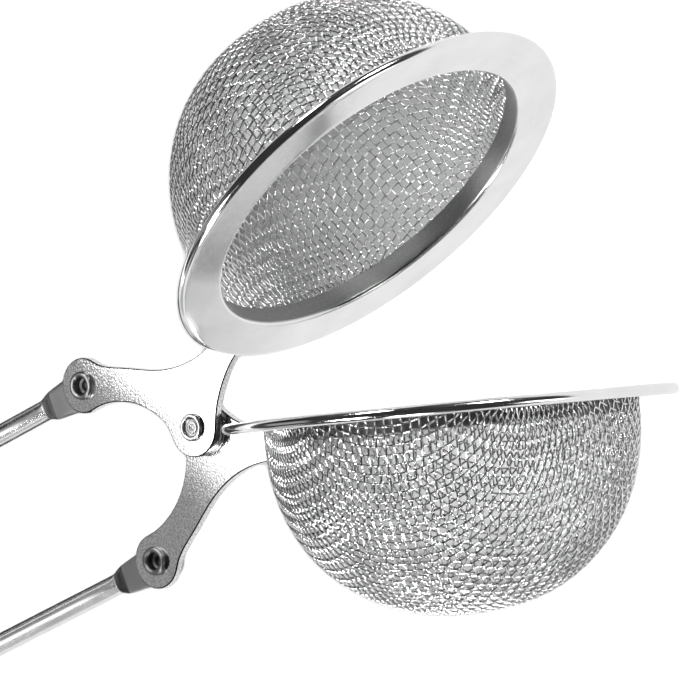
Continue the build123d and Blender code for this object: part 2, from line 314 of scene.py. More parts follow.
def steel_rivet(name, lo, hi, r0, r1, crest, crest_wear_highlight, bore_shade=0.07):
    """Rivet: headed by a press and dull down the bore. Its colours carry painted shade and light:
    the dark head colours shade the flank of the lip, the bore colour shades the bore (on the
    pivot rivet it is lighter than the head, a painted light centre), and the crest of the lip
    has its own grey, brighter on the pivot rivet, partly real rubbing wear and partly a painted highlight.
    crest: length along the profile (UV y, mm) of the top of the lip."""
    m, nt, b = nodes_of(name)
    o = coords(nt, "Object", (1, 1, 1))
    fine = noise(nt, o, 3200.0, 2.0, 0.6)
    cloud = noise(nt, o, 700.0, 3.0, 0.6)
    sep = nt.nodes.new("ShaderNodeSeparateXYZ")
    nt.links.new(coords(nt, "UV", (1, 1, 1)), sep.inputs[0])
    sv = sep.outputs[1]
    col = ramp(nt, math_node(nt, "ADD", math_node(nt, "MULTIPLY", cloud, 0.6), math_node(nt, "MULTIPLY", fine, 0.4)), [(0.36, g(lo)), (0.64, g(hi))])
    # painted highlight, partly real rubbing wear: the crest of the lip takes its own grey
    crest_wear_highlight_mask = math_node(nt, "MULTIPLY", remap(nt, sv, crest - 0.30, crest - 0.06, 0.0, 1.0), remap(nt, sv, crest + 0.04, crest + 0.24, 1.0, 0.0))
    # painted shade down the bore (on the pivot rivet a painted lighter centre)
    bore = remap(nt, sv, crest + 0.35, crest + 0.95, 0.0, 1.0)
    m1 = nt.nodes.new("ShaderNodeMix")
    m1.data_type = "RGBA"
    nt.links.new(crest_wear_highlight_mask, m1.inputs["Factor"])
    nt.links.new(col, m1.inputs[6])
    m1.inputs[7].default_value = (*g(crest_wear_highlight), 1)
    m2 = nt.nodes.new("ShaderNodeMix")
    m2.data_type = "RGBA"
    nt.links.new(math_node(nt, "MULTIPLY", bore, remap(nt, cloud, 0.3, 0.7, 0.6, 0.9)), m2.inputs["Factor"])
    nt.links.new(m1.outputs[2], m2.inputs[6])
    m2.inputs[7].default_value = (*g(bore_shade), 1)
    nt.links.new(m2.outputs[2], b.inputs["Base Color"])
    rr = math_node(nt, "ADD", remap(nt, cloud, 0.3, 0.7, r0, r1), math_node(nt, "MULTIPLY", bore, 0.15))
    nt.links.new(rr, b.inputs["Roughness"])
    bump(nt, b, [(cloud, 1.0e-5, 0.5), (fine, 5e-6, 0.5)])
    return m


def steel_drawn(name, lo, hi, r0, r1, tab, scale=(0.06, 9.0, 1.0)):
    """Drawn wire: faint die lines along its length (UV x along the wire, UV y round it, in mm).
    tab: (end of the pressed tab, end of the crease), lengths along the wire; both are duller, and
    both are painted darker as shade: the tab grey, the crease near black."""
    m, nt, b = nodes_of(name)
    v = coords(nt, "UV", scale)
    line = noise(nt, v, 1.0, 3.0, 0.6)
    cloud = noise(nt, coords(nt, "UV", (0.35, 0.6, 1.0)), 1.0, 3.0)
    col = ramp(nt, math_node(nt, "ADD", math_node(nt, "MULTIPLY", line, 0.5), math_node(nt, "MULTIPLY", cloud, 0.5)), [(0.35, g(lo)), (0.65, g(hi))])
    sep = nt.nodes.new("ShaderNodeSeparateXYZ")
    nt.links.new(coords(nt, "UV", (1, 1, 1)), sep.inputs[0])
    x = sep.outputs[0]
    # painted shade: the flat tab is darkened to 0.32 and the crease to 0.05; both are also made rougher
    flat = remap(nt, x, tab[0] + 0.35, tab[0] + 0.55, 1.0, 0.0)
    crease_shade_and_dull = math_node(nt, "MULTIPLY", remap(nt, x, tab[0] - 0.15, tab[0] + 0.1, 0.0, 1.0), remap(nt, x, tab[1] - 0.30, tab[1] - 0.05, 1.0, 0.0))
    for fac, shade in ((flat, 0.32), (crease_shade_and_dull, 0.05)):
        mix = nt.nodes.new("ShaderNodeMix")
        mix.data_type = "RGBA"
        nt.links.new(fac, mix.inputs["Factor"])
        nt.links.new(col, mix.inputs[6])
        mix.inputs[7].default_value = (*g(shade), 1)
        col = mix.outputs[2]
    nt.links.new(col, b.inputs["Base Color"])
    rr = math_node(nt, "ADD", remap(nt, cloud, 0.3, 0.7, r0, r1), remap(nt, line, 0.3, 0.7, -0.02, 0.03))
    nt.links.new(math_node(nt, "ADD", rr, math_node(nt, "ADD", math_node(nt, "MULTIPLY", flat, 0.10), math_node(nt, "MULTIPLY", crease_shade_and_dull, 0.25))), b.inputs["Roughness"])
    bump(nt, b, [(line, 1.5e-6, 0.3), (cloud, 4e-6, 0.15)])
    return m


def steel_cloth(name, lo, hi, r0, r1):
    """Fine bright wire: colour and gloss change a little from wire to wire and along each one."""
    m, nt, b = nodes_of(name)
    o = coords(nt, "Object", (1, 1, 1))
    a = noise(nt, o, 900.0, 3.0, 0.6)
    c = noise(nt, o, 5200.0, 2.0, 0.6)
    col = ramp(nt, math_node(nt, "ADD", math_node(nt, "MULTIPLY", a, 0.6), math_node(nt, "MULTIPLY", c, 0.4)), [(0.32, g(lo)), (0.62, g(hi))])
    nt.links.new(col, b.inputs["Base Color"])
    nt.links.new(remap(nt, a, 0.3, 0.7, r0, r1), b.inputs["Roughness"])
    bump(nt, b, [(c, 3e-6, 0.25)])
    return m


M_RIM = steel_turned("rim_polished_steel", 0.80, 0.90, 0.10, 0.17, neck=(2.0, 16.5))
M_RET = steel_turned("retaining_ring_steel", 0.60, 0.74, 0.18, 0.28)
# the plate's pit bottoms and almost black rolled edges are painted shade
M_PLATE = steel_tumbled("plate_tumbled_steel", 0.80, 0.88, 0.10, 0.15, grain=7600.0, depth=0.85e-5, st=0.9, pit=0.72, edge=0.004)
M_RIVET = steel_rivet("rivet_steel", 0.12, 0.24, 0.24, 0.36, 7.0, 0.44, 0.36)
# the handle rivets: a darker copy of the rivet material, painted shade
M_RIVET_SHADED = steel_rivet("rivet_handle_steel", 0.10, 0.20, 0.26, 0.38, 7.0, 0.20)
M_WASHER = steel_tumbled("washer_steel", 0.42, 0.56, 0.26, 0.36, grain=3000.0, depth=6e-6, st=0.5)
M_WELD = steel_tumbled("weld_steel", 0.38, 0.62, 0.30, 0.48, grain=1500.0, depth=4e-5, st=0.8)
M_WIRE = steel_drawn("handle_wire_steel", 0.74, 0.86, 0.20, 0.28, (8.7, 9.9))
M_CLOTH = steel_cloth("mesh_wire_steel", 0.62, 0.86, 0.07, 0.14)

# ---------------------------------------------------------------------------
# rim rings and retaining rings
# ---------------------------------------------------------------------------
def rim_profile():
    f, b = 0.55, RIM_T / 2
    rc = RIM_R - b
    lip = rc - 0.95
    p = []
    p += [(RIM_IN, NECK_H - 0.08), (RIM_IN, 1.9), (RIM_IN, 1.2)]
    p += arc(RIM_IN + f, f, f, 180, 270, 12)
    p += [(RIM_IN + f + k * (rc - 0.35 - RIM_IN - f) / 6, 0) for k in range(1, 7)]
    p += [(rc - 0.18, -0.0), ]
    p += arc(rc, b, b, -90, 90, 22)
    p += [(lip + 0.08, RIM_T)] + arc(lip + 0.1, RIM_T - 0.1, 0.1, 90, 180, 4) + arc(lip + 0.1, RIM_T - SHEET + 0.1, 0.1, 180, 270, 4)
    p += arc(rc, b, b - SHEET, 90, -90, 10)
    p += [(RIM_IN + f + 1.0, SHEET)]
    p += arc(RIM_IN + f, f, f - SHEET, 270, 180, 6)
    p += [(RIM_IN + SHEET, 1.2), (RIM_IN + SHEET, NECK_H - 0.08)]
    p += arc(RIM_IN + SHEET / 2, NECK_H - 0.12, SHEET / 2, 10, 170, 8)
    return p


def retain_profile():
    a, b, z0, z1, e = 20.75, RIM_R - RIM_T / 2 - 1.05, 0.78, 1.15, 0.1
    return (arc(a + e, z0 + e, e, 180, 270, 4) + [((a + b) / 2, z0)] + arc(b - e, z0 + e, e, 270, 360, 4)
            + arc(b - e, z1 - e, e, 0, 90, 4) + [((a + b) / 2, z1)] + arc(a + e, z1 - e, e, 90, 180, 4))


for name, (u, n) in JAW.items():
    o = C * u + GAP * n
    ph = rng.uniform(0, 6.28, 3)

    def wob(a, ph=ph):
        return 0.018 * np.sin(2 * a + ph[0]) + 0.012 * np.sin(3 * a + ph[1]) + 0.006 * np.sin(7 * a + ph[2])

    v, f, uv = revolve(rim_profile(), o, u, Z3, n, 240, wob)
    make("rim_ring_" + name, v, f, name + "_jaw", M_RIM, uv, sharp=50, replaces=[name + "_rim_ring"])
    v, f, uv = revolve(retain_profile(), o, u, Z3, n, 200)
    make("retaining_ring_" + name, v, f, name + "_jaw", M_RET, uv, sharp=50, replaces=[name + "_retaining_ring"])

# ---------------------------------------------------------------------------
# woven wire bowls: a net of equal steps laid over the bowl, over one wire and
# under the next
# ---------------------------------------------------------------------------
MESH_A, MESH_ZS, MESH_TOP, FULL = 20.35, 2.0, 22.8, 2.2
PITCH, CLOTH_R, CRIMP = 1.0, 0.120, 0.104


def surf(p):
    h = max(p[2] - MESH_ZS, 0.0)
    b = MESH_TOP - MESH_ZS
    r = max(math.hypot(p[0], p[1]), 1e-9)
    val = (r / MESH_A) ** FULL + (h / b) ** FULL - 1
    gr = FULL * r ** (FULL - 1) / MESH_A ** FULL
    return val, np.array([gr * p[0] / r, gr * p[1] / r, FULL * h ** (FULL - 1) / b ** FULL])


def newton(x, cons):
    for _ in range(14):
        fv, jac = [], []
        for c in cons:
            a, gr = c(x)
            fv.append(a)
            jac.append(gr)
        try:
            dx = np.linalg.solve(np.array(jac), -np.array(fv))
        except np.linalg.LinAlgError:
            return None
        ln = np.linalg.norm(dx)
        if ln > 0.8:
            dx *= 0.8 / ln
        x = x + dx
        if ln < 1e-9:
            return x
    return x if np.max(np.abs(fv)) < 1e-5 else None


def dist(a):
    return lambda x: ((x - a) @ (x - a) - PITCH ** 2, 2 * (x - a))


def net():
    n = 46
    q = np.full((n, n, 3), np.nan)
    q[0, 0] = (0, 0, MESH_TOP)
    flat = lambda x: (x[1], np.array([0.0, 1.0, 0.0]))
    for i in range(1, n):
        prev = q[i - 1, 0]
        guess = prev + (np.array([PITCH, 0, -0.02]) if i == 1 else prev - q[i - 2, 0])
        x = newton(guess, [dist(prev), flat, surf])
        if x is None or x[2] < -4:
            break
        q[i, 0] = x
    for j in range(1, n):
        q[0, j] = q[j, 0][[1, 0, 2]]
    for i in range(1, n):
        for j in range(1, n):
            a, b, c = q[i - 1, j], q[i, j - 1], q[i - 1, j - 1]
            if np.isnan(a[0]) or np.isnan(b[0]) or min(a[2], b[2]) < -3.2:
                continue
            x = newton(a + b - c, [dist(a), dist(b), surf])
            if x is None or (x - c) @ (a + b - 2 * c) <= 0:
                continue
            q[i, j] = x
    return q


QUAD = net()
NQ = len(QUAD)


def full_net(seed):
    """All four quarters, with small smooth irregularities of the real cloth."""
    r = np.random.default_rng(seed)
    k = 2 * NQ - 1
    p = np.full((k, k, 3), np.nan)
    for i in range(-NQ + 1, NQ):
        for j in range(-NQ + 1, NQ):
            x = QUAD[abs(i), abs(j)]
            p[i + NQ - 1, j + NQ - 1] = (x[0] * (1 if i >= 0 else -1), x[1] * (1 if j >= 0 else -1), x[2])
    col = r.normal(0, 0.028, k)
    row = r.normal(0, 0.028, k)
    ph = r.uniform(0, 6.28, 8)
    ii, jj = np.meshgrid(np.arange(k), np.arange(k), indexing="ij")
    du = row[:, None] + 0.04 * np.sin(ii * 0.31 + ph[0]) * np.sin(jj * 0.23 + ph[1]) + 0.02 * np.sin(ii * 0.9 + jj * 0.6 + ph[2]) + r.normal(0, 0.004, (k, k))
    dv = col[None, :] + 0.04 * np.sin(jj * 0.29 + ph[3]) * np.sin(ii * 0.21 + ph[4]) + 0.02 * np.sin(jj * 0.8 - ii * 0.5 + ph[5]) + r.normal(0, 0.004, (k, k))
    gi = np.full_like(p, np.nan)
    gj = np.full_like(p, np.nan)
    gi[1:-1] = (p[2:] - p[:-2]) / 2
    gj[:, 1:-1] = (p[:, 2:] - p[:, :-2]) / 2
    gi = np.where(np.isnan(gi), 0, gi)
    gj = np.where(np.isnan(gj), 0, gj)
    p = p + du[..., None] * gi + dv[..., None] * gj
    nr = normals(p)
    dent = 0.05 * np.sin(p[..., 0] * 0.37 + ph[6]) * np.sin(p[..., 1] * 0.33 + ph[7])
    return p + (dent * np.clip((p[..., 2] - 3) / 4, 0, 1))[..., None] * nr


def normals(p):
    h = np.maximum(p[..., 2] - MESH_ZS, 0)
    r = np.maximum(np.hypot(p[..., 0], p[..., 1]), 1e-9)
    gr = r ** (FULL - 2) / MESH_A ** FULL
    gr = np.stack([p[..., 0] * gr, p[..., 1] * gr, h ** (FULL - 1) / (MESH_TOP - MESH_ZS) ** FULL], -1)
    return gr / np.linalg.norm(gr, axis=-1, keepdims=True)


SUB, SIDES = 4, 5
CUT = 0.66                      # the wires end inside the clamped hem


def wires(p, warp):
    """Polylines (centre line, normal) for the wires of one family."""
    k = p.shape[0]
    out = []
    for a in range(k):
        line = p[a] if warp else p[:, a]
        ok = ~np.isnan(line[:, 0])
        if ok.sum() < 4:
            continue
        idx = np.nonzero(ok)[0]
        runs = np.split(idx, np.nonzero(np.diff(idx) > 1)[0] + 1)
        run = max(runs, key=len)
        if len(run) < 4:
            continue
        pts = line[run]
        n = len(pts)
        s = np.arange(0, (n - 1) * SUB + 1) / SUB
        b = np.clip(np.floor(s).astype(int), 0, n - 2)
        t = (s - b)[:, None]
        p1, p2 = pts[b], pts[b + 1]
        p0 = np.where((b > 0)[:, None], pts[np.maximum(b - 1, 0)], 2 * p1 - p2)
        p3 = np.where((b < n - 2)[:, None], pts[np.minimum(b + 2, n - 1)], 2 * p2 - p1)
        base = 0.5 * ((2 * p1) + (-p0 + p2) * t + (2 * p0 - 5 * p1 + 4 * p2 - p3) * t ** 2 + (-p0 + 3 * p1 - 3 * p2 + p3) * t ** 3)
        nr = normals(base)
        sg = 1.0 if warp else -1.0
        ph = (run[0] + a) % 2
        off = sg * CRIMP * np.cos(math.pi * (s + ph))
        keep = np.nonzero(base[:, 2] >= CUT)[0]
        if len(keep) < 6:
            continue
        sl = slice(keep[0], keep[-1] + 1)
        out.append((base[sl] + off[sl, None] * nr[sl], nr[sl], s[sl] * PITCH))
    return out


def tubes(lines, radius, sides):
    V, F, UV = [], [], []
    base = 0
    total = len(lines)
    longest = max(l[2][-1] - l[2][0] for l in lines)
    ang = np.arange(sides) / sides * 2 * math.pi
    for w, (c, nr, s) in enumerate(lines):
        t = np.gradient(c, axis=0)
        t /= np.linalg.norm(t, axis=1, keepdims=True)
        n1 = nr - (nr * t).sum(1, keepdims=True) * t
        n1 /= np.linalg.norm(n1, axis=1, keepdims=True)
        n2 = np.cross(t, n1)
        ring = c[:, None] + radius * (np.cos(ang)[None, :, None] * n1[:, None] + np.sin(ang)[None, :, None] * n2[:, None])
        m = len(c)
        V.append(ring.reshape(-1, 3))
        i, j = np.meshgrid(np.arange(m - 1), np.arange(sides), indexing="ij")
        j2 = (j + 1) % sides
        f = np.stack([i * sides + j, i * sides + j2, (i + 1) * sides + j2, (i + 1) * sides + j], -1).reshape(-1, 4) + base
        F.append(f)
        v0 = (s[:-1][:, None] - s[0] + 0 * j) / longest * 0.98 + 0.01
        v1 = (s[1:][:, None] - s[0] + 0 * j) / longest * 0.98 + 0.01
        u0 = (w + 0.1 + 0.8 * j / sides) / total
        u1 = (w + 0.1 + 0.8 * (j + 1) / sides) / total
        UV.append(np.stack([np.stack([u0, v0], -1), np.stack([u1, v0], -1), np.stack([u1, v1], -1), np.stack([u0, v1], -1)], 2).reshape(-1, 2))
        base += m * sides
    return np.concatenate(V), np.concatenate(F), np.concatenate(UV)


TURN = {"upper": math.radians(-20.0), "lower": math.radians(-17.5)}
for name, (u, n) in JAW.items():
    p = full_net(11 if name == "upper" else 23)
    ca, sa = math.cos(TURN[name]), math.sin(TURN[name])
    e1 = ca * u + sa * Z3
    e2 = -sa * u + ca * Z3
    first = True
    for warp in (True, False):
        v, f, uv = tubes(wires(p, warp), CLOTH_R, SIDES)
        w = C * u + GAP * n + v[:, 0:1] * e1 + v[:, 1:2] * e2 + v[:, 2:3] * n
        handed = np.dot(np.cross(e1, e2), n)
        if handed < 0:
            f = f[:, ::-1]
            uv = uv.reshape(-1, 4, 2)[:, ::-1].reshape(-1, 2)
        ob = make("mesh_%s_%s" % ("warp" if warp else "weft", name), w, f, name + "_jaw", M_CLOTH, uv,
                  uv_name="OFBake", replaces=[name + "_mesh_bowl"])
        print(ob.name, "triangles", 2 * len(f))

# ---------------------------------------------------------------------------
# arm plates: stamped outline with softened edges and punched holes
# ---------------------------------------------------------------------------
def spline(pts, t0, t1, n):
    """Interpolating cubic through pts with end directions, chord-length parameter."""
    p = np.array(pts, float)
    h = np.linalg.norm(np.diff(p, axis=0), axis=1)
    m = len(p)
    a = np.zeros((m, m))
    r = np.zeros((m, 2))
    a[0, 0] = a[-1, -1] = 1
    r[0], r[-1] = t0, t1
    for i in range(1, m - 1):
        a[i, i - 1], a[i, i], a[i, i + 1] = h[i], 2 * (h[i - 1] + h[i]), h[i - 1]
        r[i] = 3 * (h[i] * (p[i] - p[i - 1]) / h[i - 1] + h[i - 1] * (p[i + 1] - p[i]) / h[i])
    d = np.linalg.solve(a, r)
    out = []
    for i in range(m - 1):
        for k in range(n):
            t = k / n
            h00, h10 = 2 * t ** 3 - 3 * t ** 2 + 1, t ** 3 - 2 * t ** 2 + t
            h01, h11 = -2 * t ** 3 + 3 * t ** 2, t ** 3 - t ** 2
            out.append(h00 * p[i] + h10 * h[i] * d[i] + h01 * p[i + 1] + h11 * h[i] * d[i + 1])
    out.append(p[-1])
    return out


def plate_outline():
    ex, ey = EYE_D * math.cos(EYE_A), EYE_D * math.sin(EYE_A)
    er, pr = 3.2, 3.4
    on = lambda cx, cy, r, a: (cx + r * math.cos(math.radians(a)), cy + r * math.sin(math.radians(a)))
    tn = lambda a: (-math.sin(math.radians(a)), math.cos(math.radians(a)))
    tip, top, low = C - 20.55 - 0.06, 4.6, RIM_T + GAP + 0.02
    a1, a2, b1, b2 = 18.0, 222.0, 188.0, 312.0
    pts = []
    pts += spline([(tip, top), (10.4, 4.55), (7.1, 4.95), (3.7, 6.2), (0.4, 8.6), (-2.7, 11.9), on(ex, ey, er, a1)], (-1, 0), tn(a1), 8)[:-1]
    pts += [np.array(on(ex, ey, er, a)) for a in np.linspace(a1, a2, 40)[:-1]]
    pts += spline([on(ex, ey, er, a2), (-8.9, 11.55), (-6.5, 10.1), (-4.45, 7.9), (-3.15, 5.3), (-2.75, 2.6), on(0, 0, pr, b1)], tn(a2), tn(b1), 8)[:-1]
    pts += [np.array(on(0, 0, pr, b)) for b in np.linspace(b1, b2, 28)[:-1]]
    pts += spline([on(0, 0, pr, b2), (4.5, -0.75), (6.3, 0.2), (8.2, 0.9), (10.8, low)], tn(b2), (1, 0), 8)[:-1]
    pts += [np.array((10.8, low)), np.array((13.2, low)), np.array((tip, low))]
    return np.array(pts), (ex, ey)


def plate(name, z0, z1, hole_p, hole_e, edge=0.13):
    u, n = JAW[name]
    pts, eye = plate_outline()
    cu = bpy.data.curves.new("plate_" + name, "CURVE")
    cu.dimensions = "2D"
    cu.fill_mode = "BOTH"
    cu.extrude = ((z1 - z0) / 2 - edge) * 0.001
    cu.bevel_depth = edge * 0.001
    cu.bevel_resolution = 3
    cu.offset = -edge * 0.001
    loops = [pts]
    for (c, r) in (((0.0, 0.0), hole_p), (eye, hole_e)):
        t = np.linspace(0, 2 * math.pi, 49)[:-1]
        loops.append(np.stack([c[0] + r * np.cos(t), c[1] + r * np.sin(t)], 1))
    for lp in loops:
        xy = lp[:, 0:1] * u[None, :2] + lp[:, 1:2] * n[None, :2]
        sp = cu.splines.new("POLY")
        sp.points.add(len(xy) - 1)
        co = np.zeros((len(xy), 4))
        co[:, :2] = xy * 0.001
        co[:, 3] = 1
        sp.points.foreach_set("co", co.ravel())
        sp.use_cyclic_u = True
    tmp = bpy.data.objects.new("tmp", cu)
    bpy.context.scene.collection.objects.link(tmp)
    bpy.context.view_layer.update()
    me = bpy.data.meshes.new_from_object(tmp.evaluated_get(bpy.context.evaluated_depsgraph_get()))
    bpy.data.objects.remove(tmp)
    me.name = "arm_plate_" + name
    co = np.zeros(len(me.vertices) * 3)
    me.vertices.foreach_get("co", co)
    co = co.reshape(-1, 3) * 1000
    co[:, 2] += (z0 + z1) / 2
    me.vertices.foreach_set("co", to_row(co).astype(np.float32).ravel())
    import bmesh
    bm = bmesh.new()
    bm.from_mesh(me)
    bmesh.ops.remove_doubles(bm, verts=bm.verts, dist=2e-6)
    bmesh.ops.recalc_face_normals(bm, faces=bm.faces)
    zt = Vector(ZT.tolist())
    for fc in bm.faces:
        fc.smooth = True
    for ed in bm.edges:
        if len(ed.link_faces) == 2:
            flat = [abs(fc.normal.dot(zt)) > 0.9995 for fc in ed.link_faces]
            ed.smooth = flat[0] == flat[1] and ed.calc_face_angle(0.0) < math.radians(32)
    for old_layer in list(bm.loops.layers.uv.values()):
        bm.loops.layers.uv.remove(old_layer)
    layer = bm.loops.layers.uv.new("UVMap")
    # the rolled edge faces get UV x = 1, where the plate material paints shade
    for fc in bm.faces:
        rolled = 0.06 < abs(fc.normal.dot(zt)) < 0.9995
        for loop in fc.loops:
            loop[layer].uv = (1.0 if rolled else 0.0, 0.5)
    bm.to_mesh(me)
    bm.free()
    me.materials.clear()
    me.materials.append(M_PLATE)
    ob = bpy.data.objects.new("arm_plate_" + name, me)
    bpy.context.scene.collection.objects.link(ob)
    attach(ob, name + "_jaw")
    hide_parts(name + "_arm_plate")
    return ob


plate("upper", 0.25, 1.25, 1.21, 1.11)
plate("lower", -1.25, -0.25, 1.25, 1.11)

# ---------------------------------------------------------------------------
# rivets and washers
# ---------------------------------------------------------------------------
def rivet(name, x, y, body, shank, lip, bore, step, z_back, z_seat, z_front, flange, node, dent):
    """Semi-tubular rivet: its rolled lip is a little uneven, as a rivet set by a press is."""
    top = z_front + (0.52 if x == 0 else 0.66)
    ra, rm = (lip - bore) / 2, (lip + bore) / 2
    p = [(0.001, z_back)] + arc(flange - 0.2, z_back + 0.2, 0.2, -90, 0, 6) + arc(flange - 0.08, z_seat - 0.08, 0.08, 0, 90, 3)
    p += [(shank, z_seat), (shank, z_front - 0.02)]
    p += [(lip - 0.12, z_front - 0.0)] + [(lip, z_front + 0.1)]
    p += arc(rm, top - ra, ra, 0, 180, 16)
    q = np.array(p[:-7])
    crest = np.linalg.norm(np.diff(q, axis=0), axis=1).sum()
    if x == 0:
        p += [(bore, top - 0.46), (bore - 0.10, top - 0.52), (0.74, top - 0.50), (0.70, top - 0.36), (0.62, top - 0.32), (0.40, top - 0.33)]
        p += [(0.34, top - 0.44), (0.28, top - 0.46), (0.22, top - 0.42), (0.001, top - 0.40)]
    else:
        p += [(bore, top - 0.60), (bore - 0.02, top - 0.95)] + arc(bore - 0.12, top - 1.0, 0.1, 0, -80, 4)
        p += [(step + 0.1, top - 1.15)] + arc(step + 0.02, top - 1.25, 0.08, 90, 180, 4)
        p += [(step - 0.08, top - 1.7), (step * 0.55, top - 1.9), (0.001, top - 1.95)]
    v, f, uv = revolve(p, np.array([x, y, 0.0]), np.array([1.0, 0, 0]), np.array([0, 1.0, 0]), Z3, 72)
    uv[:, 1] += 7.0 - crest
    a = np.arctan2(v[:, 1] - y, v[:, 0] - x)
    rr = np.hypot(v[:, 0] - x, v[:, 1] - y)
    w = np.clip((v[:, 2] - z_front - 0.1) / 0.4, 0, 1) * (rr > bore - 0.15)
    k = 1 + w * (0.007 * np.sin(2 * a + dent) + 0.004 * np.sin(5 * a + 2 * dent))
    v[:, 0] = x + (v[:, 0] - x) * k
    v[:, 1] = y + (v[:, 1] - y) * k
    v[:, 2] += w * (0.018 * np.sin(2 * a + dent) + 0.006 * np.sin(5 * a + dent))
    return make(name, v, f, body, M_RIVET if x == 0 else M_RIVET_SHADED, uv, sharp=45, replaces=[node])


def washer(name, x, y, body, r_in, r_out, z0, z1, node):
    e = 0.1
    p = ([(r_in, z0 + 0.02)] + arc(r_out - e, z0 + e, e, -90, 0, 5) + arc(r_out - e, z1 - e, e, 0, 90, 5) + [(r_in, z1 - 0.02)])
    v, f, uv = revolve(p, np.array([x, y, 0.0]), np.array([1.0, 0, 0]), np.array([0, 1.0, 0]), Z3, 72)
    return make(name, v, f, body, M_WASHER, uv, sharp=45, replaces=[node])


rivet("rivet_pivot", 0, 0, "upper_jaw", 1.20, 1.58, 1.02, 0.55, -2.15, -1.75, 1.25, 2.0, "pivot_rivet", 0.4)
rivet("rivet_upper_handle", RA[0], RA[1], "upper_jaw", 1.10, 1.66, 0.98, 0.72, -1.60, -1.25, 1.25, 1.8, "upper_handle_rivet", 1.7)
rivet("rivet_lower_handle", RB[0], RB[1], "lower_jaw", 1.10, 1.66, 0.98, 0.72, -3.10, -2.75, -0.25, 1.8, "lower_handle_rivet", 3.1)
washer("washer_pivot_spacer", 0, 0, "upper_jaw", 1.21, 3.35, -0.20, 0.25, "pivot_spacer_washer")
washer("washer_pivot_back", 0, 0, "upper_jaw", 1.21, 3.0, -1.75, -1.30, "pivot_back_washer")
washer("washer_upper_handle", RA[0], RA[1], "upper_jaw", 1.11, 2.2, -1.25, -0.85, "upper_handle_rivet_washer")
washer("washer_lower_handle", RB[0], RB[1], "lower_jaw", 1.11, 2.2, -2.75, -2.35, "lower_handle_rivet_washer")
for name in ("upper", "lower"):
    ob = frame["nodes"][name + "_arm_weld"]
    ob.data.materials.clear()
    ob.data.materials.append(M_WELD)

